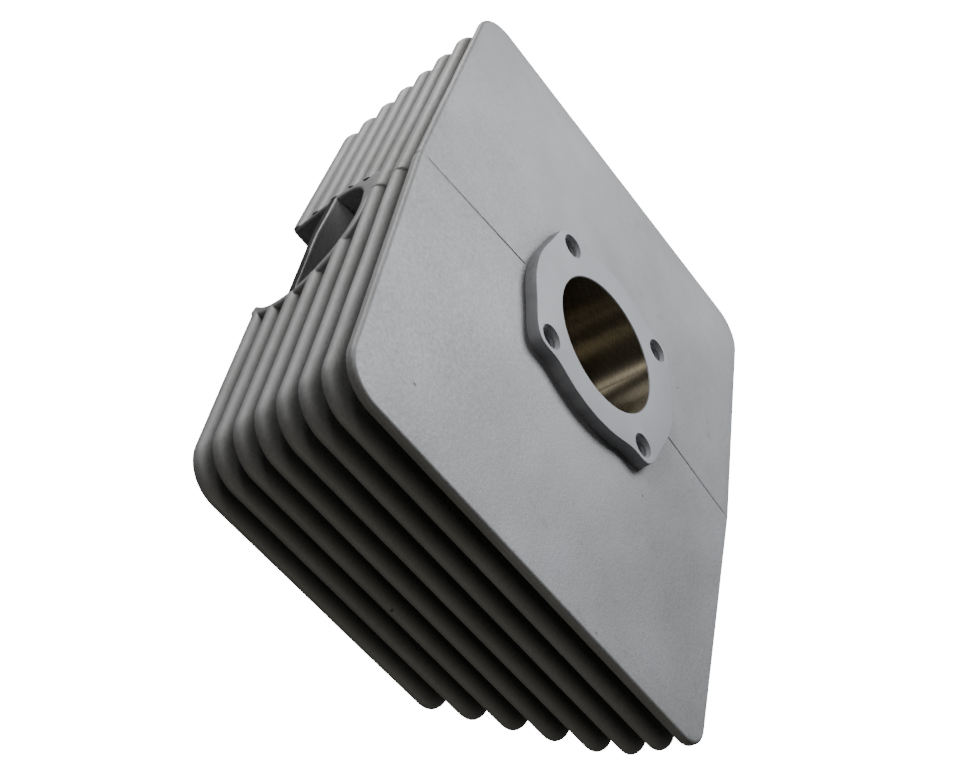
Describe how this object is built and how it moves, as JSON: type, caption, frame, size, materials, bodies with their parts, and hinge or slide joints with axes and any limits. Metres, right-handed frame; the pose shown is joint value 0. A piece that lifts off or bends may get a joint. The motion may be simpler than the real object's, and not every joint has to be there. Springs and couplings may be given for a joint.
{
  "type": "finned two-stroke cylinder barrel",
  "caption": "Air-cooled two-stroke cylinder barrel with wide rectangular cooling fins, a bolted head face, side ports and a base flange.",
  "frame": {"origin": "on the plane of the spigot's end, under the middle of the overall box; the bore axis stands 1.9 mm behind it in +Y", "axes": "+Z along the bore axis from the crankcase towards the head face, -Y to the inlet side, +Y to the exhaust side"},
  "size_m": [0.1746, 0.1434, 0.0997],
  "materials": {
    "cast": "blasted casting",
    "machined": "fine machined",
    "honed": "honed plating"
  },
  "bodies": {
    "root": {"head_boss": "machined", "barrel_core": "cast", "bore_lining": "honed", "base_flange": "machined", "spigot": "machined", "fin_1": "cast", "fin_2": "cast", "fin_3": "cast", "fin_4": "cast", "fin_5": "cast", "fin_6": "cast", "fin_7": "cast", "fin_8": "cast", "well_arch": "cast", "well_leg_left": "cast", "well_leg_right": "cast", "inlet_port_block": "machined", "exhaust_stub": "cast", "exhaust_flange": "machined"}
  },
  "joints": []
}
